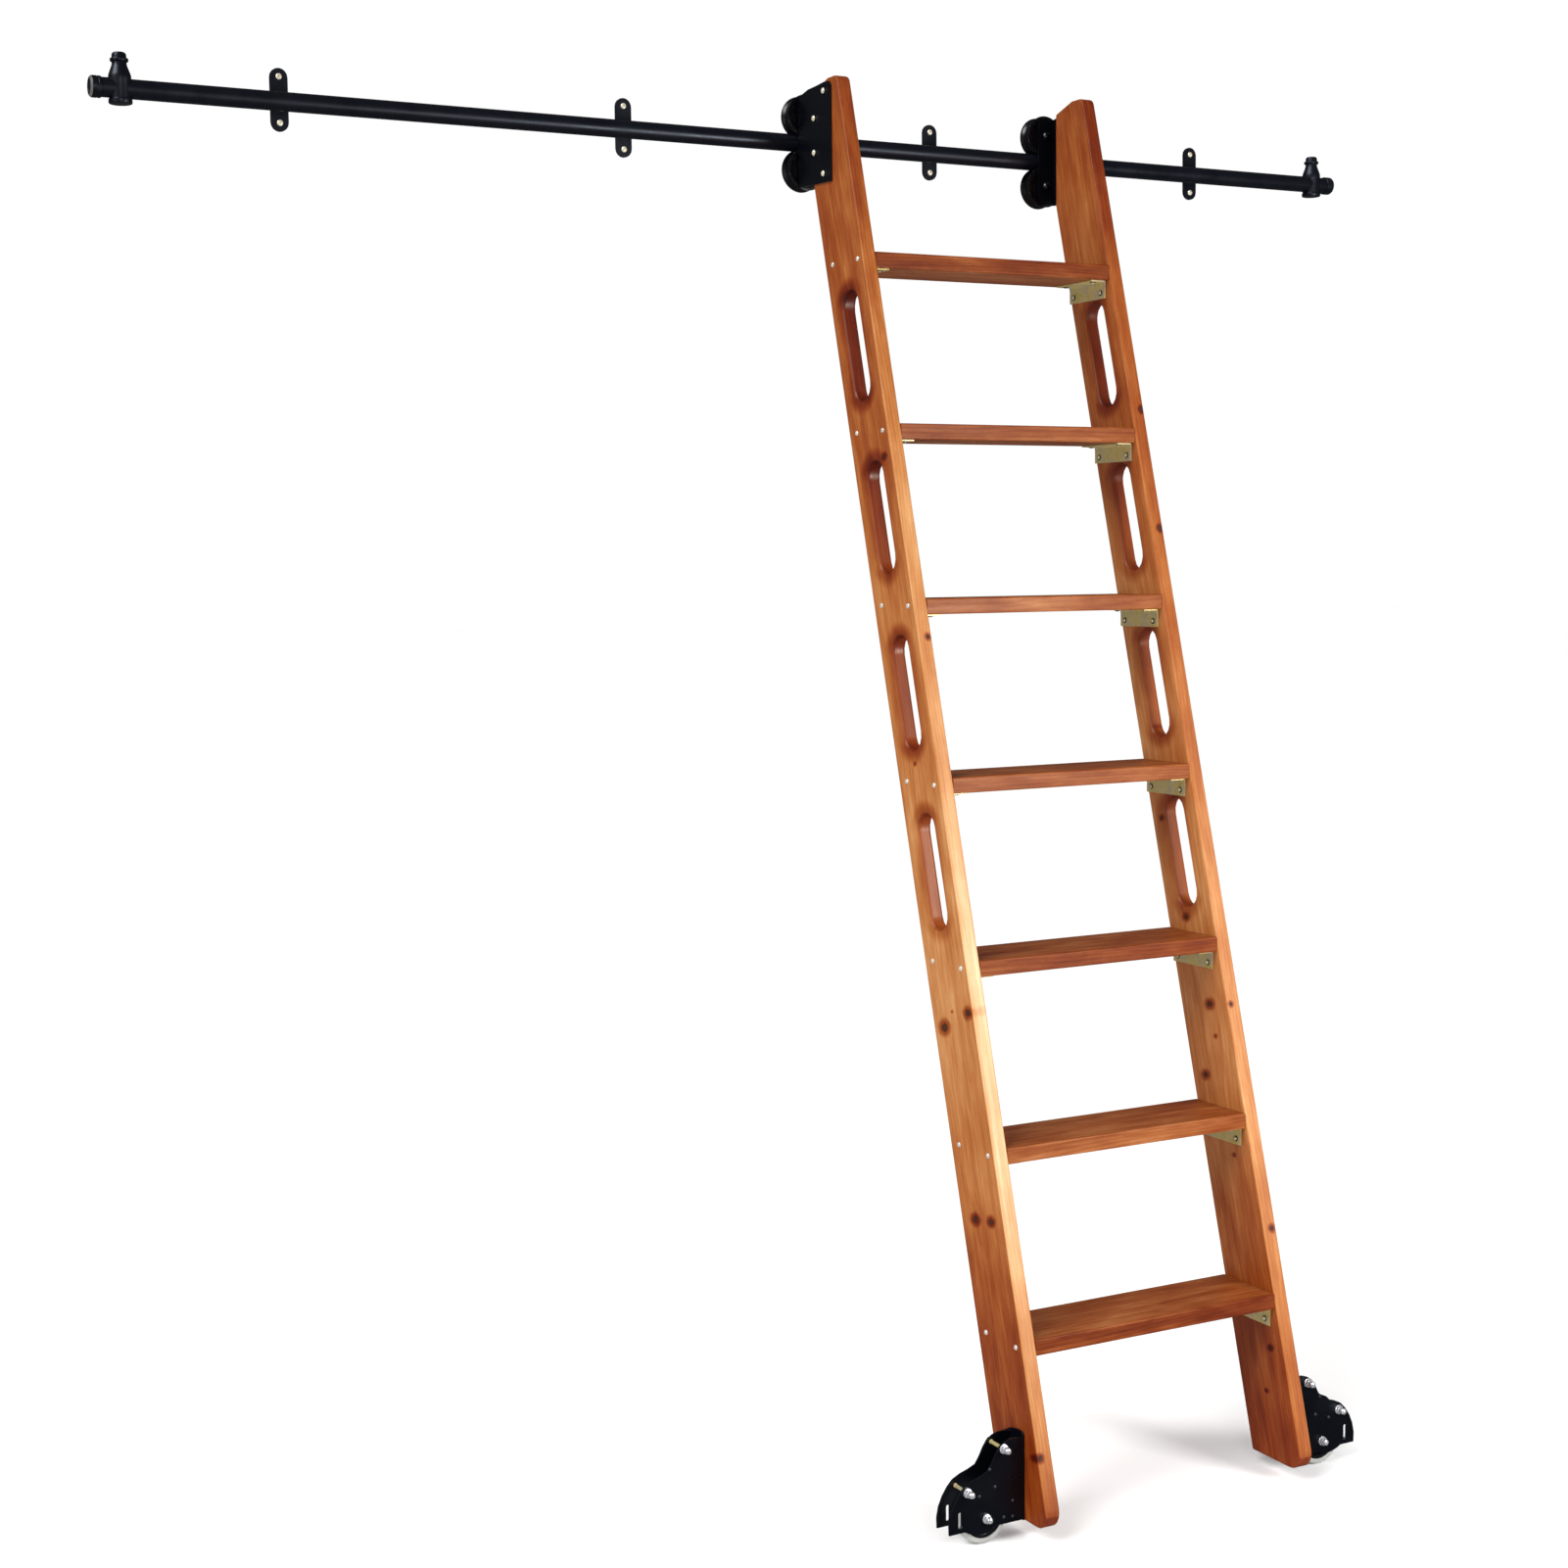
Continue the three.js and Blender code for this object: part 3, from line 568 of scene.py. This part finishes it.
def make_rail_end(label, side):
    x = middle(f"rail_tee_{label}").x
    up = facing((x, RAIL.y, RAIL.z), (0, 0, 1))
    body = [(0, -24), (16.8, -24), (18, -23.4), (18.5, -22), (18.5, -17.8), (18.1, -16.8), (17.3, -16.2),
            (17.2, 8), (17.6, 12), (17.8, 15), (17.7, 19), (16.9, 22), (12.8, 33), (11.7, 36.4),
            (11.5, 40.7), (0, 40.7)]
    piece(f"tee_{label}", turned(bmesh.new(), body, up, 72), [COAT], "rail",
          [f"rail_tee_{label}"], 0.4, 20)
    cap = [(0, 41), (13.2, 41), (14.1, 41.7), (14.4, 43), (14.4, 44.8), (13.8, 46), (12.3, 46.7),
           (11.5, 47.4), (11.2, 52), (10.4, 54), (8.8, 55.2), (6, 55.5), (0, 55.5)]
    piece(f"cap_{label}", turned(bmesh.new(), cap, up, 72), [COAT], "rail",
          [f"tee_cap_{label}"], 0.3, 20)
    end = RAIL_HI.x if side > 0 else RAIL_LO.x
    plug = [(0, -12), (12.4, -12), (12.4, 0.3), (16.4, 0.3), (17.1, 1), (17.2, 2.4), (17.2, 5),
            (16.7, 5.6), (16.7, 6.6), (17.2, 7.2), (17.2, 13.4), (16.8, 15.2)]
    # The rim is coated grey: a painted highlight on its rounded edge
    rim = [(16.8, 15.2), (15.6, 16.9), (14.2, 17.9), (12.6, 18.2)]
    crown = [(12.6, 18.2), (11.8, 17.8), (11.4, 16.9), (0, 16.7)]
    place = facing((end, RAIL.y, RAIL.z), (side, 0, 0))
    bm = turned(bmesh.new(), plug, place, 72)
    turned(bm, rim, place, 72, material=1)
    turned(bm, crown, place, 72)
    bmesh.ops.remove_doubles(bm, verts=bm.verts, dist=1e-7)
    piece(f"plug_{label}", bm, [COAT, HIGHLIT_RIM_COAT], "rail", [f"end_plug_{label}"], 0.25, 20)


# ---- rollers and their axles ----
ROLLER_GAP = 0.3
GROOVE_HALF_WIDTH = 13.3
GROOVE_STEPS = 14


def groove(offset, radius, half_width, steps):
    """The rim of a roller that hugs the rail: a hollow of that radius about the rail's own centre."""
    rim = []
    for k in range(steps + 1):
        across = half_width * (2 * k / steps - 1)
        rim.append((offset - math.sqrt(radius * radius - across * across), across))
    return rim


def make_roller(where, label):
    node = f"roller_{where}_{label}"
    centre = middle(node)
    place = facing((centre.x, RAIL.y, centre.z), (0, 1, 0))
    hollow = groove(abs(centre.z - RAIL.z) / MM, RAIL_RADIUS + ROLLER_GAP, GROOVE_HALF_WIDTH, GROOVE_STEPS)
    front = [(5.3, -16), (9, -16), (10.4, -15.2), (10.8, -10.2), (15.5, -9.4), (28, -9.4), (30, -10.4),
             (31.4, -13.2), (32.6, -14), (36.8, -14), (38.2, -13.8)]
    back = [(37.8, 13.9), (36.6, 14), (32.6, 14), (31.4, 13.2), (30, 10.4), (28, 9.4), (12, 9.4),
            (11, 13.6), (9.5, 14), (5.3, 14)]
    bm = turned(bmesh.new(), front + hollow + back, place, 96, True)
    piece(f"grooved_{node}", bm, [GLOSS], node, [node], 0.3, 25)


def make_roller_axle(where, label):
    node = f"roller_axle_{where}_{label}"
    centre = middle(node)
    lo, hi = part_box(node)
    place = facing((centre.x, RAIL.y, centre.z), (0, 1, 0))
    front, back = (lo.y - RAIL.y) / MM, (hi.y - RAIL.y) / MM
    bolt = [(0, front), (3.2, front + 0.3), (5.4, front + 1.6), (6.6, front + 3.6),
            (7.2, front + 4.4, "hex"), (7.2, front + 8.6, "hex"), (5, front + 8.7), (5, back - 4.6),
            (7.6, back - 4.5, "hex"), (7.6, back - 0.6, "hex"), (6.8, back), (0, back)]
    piece(f"bolt_{node}", turned(bmesh.new(), bolt, place, 48), [DARK], "ladder",
          [node], 0.25, 20)


# ---- feet ----
def make_wheel(label):
    hub_lo, hub_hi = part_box(f"foot_wheel_hub_{label}")
    tyre_lo, tyre_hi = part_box(f"foot_tyre_{label}")
    centre = (tyre_lo + tyre_hi) / 2
    place = facing(centre, (0, 1, 0))
    outer = (tyre_hi.z - tyre_lo.z) / 2 / MM
    rim = (hub_hi.z - hub_lo.z) / 2 / MM
    half = (hub_hi.y - hub_lo.y) / 2 / MM
    face = half - 5
    hub = [(5.3, -half), (9.5, -half), (11, -half + 0.8), (11.6, -face + 1.5), (14, -face + 3.2),
           (rim - 7, -face + 3.2), (rim - 5, -face + 1.2), (rim, -face), (rim, face), (rim - 5, face - 1.2),
           (rim - 7, face - 3.2), (14, face - 3.2), (11.6, face - 1.5), (11, half - 0.8), (9.5, half),
           (5.3, half)]
    piece(f"hub_{label}", turned(bmesh.new(), hub, place, 72, True), [GLOSS], f"wheel_{label}",
          [f"foot_wheel_hub_{label}"], 0.25, 25)
    w = (tyre_hi.y - tyre_lo.y) / 2 / MM
    tread = [(rim + 0.1, -w), (outer - 3.2, -w), (outer - 1.2, -w + 1), (outer - 0.3, -w + 2.8),
             (outer, -w + 5), (outer, w - 5), (outer - 0.3, w - 2.8), (outer - 1.2, w - 1),
             (outer - 3.2, w), (rim + 0.1, w)]
    piece(f"tyre_{label}", turned(bmesh.new(), tread, place, 96, True), [TYRE], f"wheel_{label}",
          [f"foot_tyre_{label}"], 0.3, 40)


def dome_nut(front, plate, base):
    """A dome nut on its washer in front of a plate, from its tip at front to the plate's face."""
    neck = base - 0.7
    return [(0, front), (2.4, front + 0.3), (4.4, front + 1.5), (5.4, front + 3.4), (neck, front + 5.6),
            (neck, plate - 6.2), (base, plate - 5.8, "hex"), (base, plate - 1.1, "hex"),
            (base + 1.6, plate - 1), (base + 1.6, plate - 0.1), (0, plate - 0.1)]


def make_foot_bolt(label, kind, sleeve, base):
    """A through bolt of a foot: a dome nut with flats base mm from its axis, a spacer of the radius
    sleeve between the plates, and a head behind."""
    node = f"foot_{kind}_{label}"
    lo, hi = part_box(node)
    centre = (lo + hi) / 2
    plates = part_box(f"foot_front_plate_{label}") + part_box(f"foot_back_plate_{label}")
    front_face, front_back, back_face, back_rear = [(corner.y - lo.y) / MM for corner in plates]
    end = (hi.y - lo.y) / MM
    nut = dome_nut(0, front_face, base)
    spacer = [(0, front_face - 0.1), (3.9, front_face - 0.1), (3.9, front_back + 0.1),
              (sleeve, front_back + 0.1), (sleeve, back_face - 0.1), (3.9, back_face - 0.1),
              (3.9, back_rear + 0.1), (0, back_rear + 0.1)]
    head = [(0, back_rear + 0.1), (base + 1.2, back_rear + 0.1), (base + 1.2, back_rear + 0.9),
            (base, back_rear + 1, "hex"), (base, end - 0.6, "hex"), (base - 1, end), (0, end)]
    place = facing((centre.x, lo.y, centre.z), (0, 1, 0))
    bm = turned(bmesh.new(), nut, place)
    turned(bm, spacer, place, material=1)
    turned(bm, head, place)
    piece(f"bolt_{node}", bm, [CHROME, ZINC], "ladder", [node], 0.22, 20)


make_rail()
for label, side in SIDES:
    make_rail_end(label, side)
    for where in ("upper", "lower"):
        make_roller(where, label)
        make_roller_axle(where, label)
    make_wheel(label)
    make_foot_bolt(label, "tie_upper", 3.1, 6.3)
    make_foot_bolt(label, "tie_outer", 3.1, 6.3)
    make_foot_bolt(label, "axle", 4.9, 6.4)


# ---- fasteners ----
def screw_head(radius, height, seat=0.0):
    """A raised screw head with a cross recess, seat mm above the surface that it holds."""
    r, h = radius, height
    return [(0, -1), (0.8 * r, -1), (r, seat), (r, seat + 0.18 * h), (0.93 * r, seat + 0.5 * h),
            (0.76 * r, seat + 0.82 * h), (0.60 * r, seat + 0.97 * h), (0.52 * r, seat + h, "cross"),
            (0.42 * r, seat + 0.35 * h, "cross"), (0, seat + 0.2 * h)]


# A dark cup washer under a screw head; its dark ring also stands in for the shade round the sunk screw heads
def cup_washer_and_shade(radius):
    return [(0.35 * radius, 0.05), (radius, 0.05), (radius, 0.35), (0.86 * radius, 0.95),
            (0.66 * radius, 1.1), (0.5 * radius, 0.8), (0.35 * radius, 0.3)]


def scatter(name, spots, profile, material, body, washer=None, washer_material=None, edge=0.1):
    """One piece made of the same fastener at each spot of (point, direction, roll)."""
    bm = bmesh.new()
    for point, axis, roll in spots:
        turned(bm, profile, facing(point, axis, roll), 24)
        if washer:
            turned(bm, washer, facing(point, axis, roll), 24, True, 1)
    materials = [material] + ([washer_material] if washer else [])
    return piece(name, bm, materials, body, (), edge, 40)


# The golden angle, in radians
GOLDEN_TURN = 2.399963


def roll_at(index):
    """A screw's turn, which looks unordered and is the same in each run."""
    return (index * GOLDEN_TURN) % math.pi


def outer_face(node, side):
    """Where the face of a node that looks away from the ladder's middle is, along X."""
    lo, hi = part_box(node)
    return lo.x if side < 0 else hi.x


SIDE_SCREW_DEPTHS = (17, 106)
SIDE_SCREW_DROP = 12
# Added to the count on the right, so that the screws of the two sides aren't turned alike
RIGHT_SCREW_SHIFT = 3


def add_side_screws(label, side):
    """The screws that go through a stile into the ends of the treads."""
    face = outer_face(f"stile_{label}", side)
    spots = []
    for number in range(1, TREAD_COUNT + 1):
        lo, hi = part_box(f"tread_{number}")
        for depth in SIDE_SCREW_DEPTHS:
            point = (face, lo.y + depth * MM, hi.z - SIDE_SCREW_DROP * MM)
            turn = roll_at(len(spots) + RIGHT_SCREW_SHIFT * (side > 0))
            spots.append((point, (side, 0, 0), turn))
    scatter(f"side_screws_{label}", spots, screw_head(4.5, 2.2), SILVER, "ladder")


LEG_SCREW_DEPTHS = (23, 108)
LEG_SCREW_DROP = 21.5
SHELF_SCREW_REACH = 17


def add_bracket_screws(label, side):
    """The screws and cup washers of the tread brackets, in their legs and under their shelves."""
    spots = []
    for number in range(1, TREAD_COUNT + 1):
        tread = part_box(f"tread_{number}")[0]
        bracket = f"tread_bracket_{label}_{number}"
        leg = outer_face(bracket, side) - side * PLATE_THICKNESS
        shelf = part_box(bracket)[1].z - PLATE_THICKNESS
        for depth in LEG_SCREW_DEPTHS:
            in_leg = (leg, tread.y + depth * MM, tread.z - LEG_SCREW_DROP * MM)
            spots.append((in_leg, (-side, 0, 0), roll_at(len(spots))))
            in_shelf = (leg - side * SHELF_SCREW_REACH * MM, tread.y + depth * MM, shelf)
            spots.append((in_shelf, (0, 0, -1), roll_at(len(spots))))
    # The dark washers under these heads are partly painted shade
    scatter(f"bracket_screws_{label}", spots, screw_head(3.6, 1.6, 0.4), PALE, "ladder",
            cup_washer_and_shade(5.2), DARK)


# The screws of a top bracket's flange: how far behind and above the rail's centre, in millimetres
TOP_SCREWS = ((-111, 73), (-75, 31), (-75, -29), (-108, -70))


def add_top_screws(label, side):
    face = outer_face(f"top_bracket_{label}", side)
    spots = [((face, RAIL.y + behind * MM, RAIL.z + above * MM), (side, 0, 0), roll_at(k))
             for k, (behind, above) in enumerate(TOP_SCREWS)]
    # The dark washers round the flange screws are partly painted shade
    scatter(f"top_screws_{label}", spots, screw_head(5.2, 2.9, 0.5), PALE, "ladder",
            cup_washer_and_shade(7.0), PLATE)


WALL_SCREW_RISE = 37.5
WALL_PLATE_THICKNESS = 5


def add_wall_screws():
    spots = []
    for number in range(1, WALL_BRACKET_COUNT + 1):
        lo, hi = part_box(f"wall_bracket_{number}")
        plate = Vector(((lo.x + hi.x) / 2, hi.y - WALL_PLATE_THICKNESS * MM, (lo.z + hi.z) / 2))
        for rise in (-WALL_SCREW_RISE, WALL_SCREW_RISE):
            spots.append((plate + Vector((0, 0, rise * MM)), (0, -1, 0), roll_at(len(spots))))
    scatter("wall_screws", spots, screw_head(5.2, 2.6), PALE, "rail")


# The rivets of a foot's front plate: how far out from the ladder's middle and how high, in millimetres
FRONT_RIVETS = ((341, 125), (331, 94.4), (361, 84), (297.3, 65), (297.5, 38.7), (314.5, 40.5), (396.6, 39.3))
RIVET = [(0, -0.5), (2.6, -0.5), (2.6, 0.2), (2.2, 0.8), (1.3, 1.15), (0, 1.25)]


def add_foot_rivets(label, side):
    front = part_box(f"foot_front_plate_{label}")[0].y
    spots = [((LADDER_X + side * out * MM, front, z * MM), (0, -1, 0), 0) for out, z in FRONT_RIVETS]
    scatter(f"foot_rivets_{label}", spots, RIVET, RIVETED, "ladder")


FLANGE_SCREW_DEPTH = 38
FLANGE_SCREW_HEIGHTS = (150, 102, 52)


def add_flange_screws(label, side):
    flange = f"foot_flange_{label}"
    at_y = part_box(flange)[0].y + FLANGE_SCREW_DEPTH * MM
    spots = [((outer_face(flange, side), at_y, z * MM), (side, 0, 0), roll_at(k))
             for k, z in enumerate(FLANGE_SCREW_HEIGHTS)]
    scatter(f"flange_screws_{label}", spots, screw_head(4.6, 1.8), COAT, "ladder")


for add in (add_side_screws, add_bracket_screws, add_top_screws):
    for label, side in SIDES:
        add(label, side)
add_wall_screws()
for add in (add_foot_rivets, add_flange_screws):
    for label, side in SIDES:
        add(label, side)


# ---- floor, light and camera ----
FLOOR_REACH = 60
FLOOR_DROP = 0.5 * MM
CAMERA_AT = (-2.07962, -3.51025, 1.57339)
CAMERA_ANGLES = (27.828, -5.154, -0.752)
CAMERA_LENS = 54.74
CAMERA_SENSOR = 36


def add_floor():
    bm = bmesh.new()
    corners = [(-1, -1), (1, -1), (1, 1), (-1, 1)]
    bm.faces.new([bm.verts.new((FLOOR_REACH * x, FLOOR_REACH * y, -FLOOR_DROP)) for x, y in corners])
    mesh = bpy.data.meshes.new("floor")
    bm.to_mesh(mesh)
    bm.free()
    floor = bpy.data.objects.new("floor", mesh)
    bpy.context.scene.collection.objects.link(floor)
    s = Shader("floor_paint", Roughness=0.9)
    s.surface.inputs["Specular IOR Level"].default_value = 0.2
    tone = s.noise(3, 3)
    mesh.materials.append(s.finish(Base_Color=s.mix(tone, (0.98, 0.98, 0.98), (0.99, 0.99, 0.99))))
    floor.visible_glossy = False


def add_world(seen, lit, mirrored):
    """A plain white surround: seen is what the camera sees of it, lit is the light that it gives, and
    mirrored is what shiny surfaces show of it."""
    world = bpy.data.worlds.new("studio")
    world.use_nodes = True
    tree = world.node_tree
    tree.nodes.clear()
    out = tree.nodes.new("ShaderNodeOutputWorld")
    path = tree.nodes.new("ShaderNodeLightPath")
    shown = None
    for ray, strength in ((None, lit), ("Is Glossy Ray", mirrored), ("Is Camera Ray", seen)):
        light = tree.nodes.new("ShaderNodeBackground")
        light.inputs["Color"].default_value = (1, 1, 1, 1)
        light.inputs["Strength"].default_value = strength
        if ray:
            mix = tree.nodes.new("ShaderNodeMixShader")
            tree.links.new(path.outputs[ray], mix.inputs[0])
            tree.links.new(shown, mix.inputs[1])
            tree.links.new(light.outputs[0], mix.inputs[2])
            shown = mix.outputs[0]
        else:
            shown = light.outputs[0]
    tree.links.new(shown, out.inputs[0])
    bpy.context.scene.world = world


def add_light(name, kind, at, target, energy, size, height=None):
    """A light at a point, turned to a target: a sun of size degrees or a box of size by height metres."""
    light = bpy.data.lights.new(name, kind)
    light.energy = energy
    if kind == "SUN":
        light.angle = math.radians(size)
    else:
        light.shape = "RECTANGLE"
        light.size = size
        light.size_y = height or size
    obj = bpy.data.objects.new(name, light)
    obj.location = at
    obj.rotation_euler = (Vector(target) - Vector(at)).to_track_quat("-Z", "Y").to_euler()
    obj.visible_camera = False
    bpy.context.scene.collection.objects.link(obj)


def add_camera():
    yaw, pitch, roll = (math.radians(angle) for angle in CAMERA_ANGLES)
    forward = Vector((math.sin(yaw) * math.cos(pitch), math.cos(yaw) * math.cos(pitch), math.sin(pitch)))
    level = Vector((math.cos(yaw), -math.sin(yaw), 0))
    up = level.cross(forward)
    right = level * math.cos(roll) + up * math.sin(roll)
    up = up * math.cos(roll) - level * math.sin(roll)
    camera = bpy.data.cameras.new("camera")
    camera.lens = CAMERA_LENS
    camera.sensor_width = CAMERA_SENSOR
    camera.clip_end = 100
    obj = bpy.data.objects.new("camera", camera)
    turn = Matrix((right, up, -forward)).transposed().to_4x4()
    obj.matrix_world = Matrix.Translation(CAMERA_AT) @ turn
    bpy.context.scene.collection.objects.link(obj)
    bpy.context.scene.camera = obj


add_floor()
add_world(seen=1.0, lit=0.53, mirrored=0.07)
add_light("sun", "SUN", (-2.0, -0.55, 2.05), (0, 0, 0), energy=2.4, size=35)
add_light("left_box", "AREA", (-3.0, -0.6, 1.6), (0.0, -0.1, 1.0), energy=8, size=1.8, height=2.2)
add_light("right_box", "AREA", (1.2, -2.3, 1.40), (0.1, -0.2, 0.9), energy=52, size=0.75, height=1.1)
add_light("front_box", "AREA", (-1.6, -4.3, 2.1), (0.0, 0.0, 1.6), energy=24, size=0.7)
add_camera()
bpy.context.scene.view_settings.view_transform = "Standard"

bpy.context.view_layer.update()
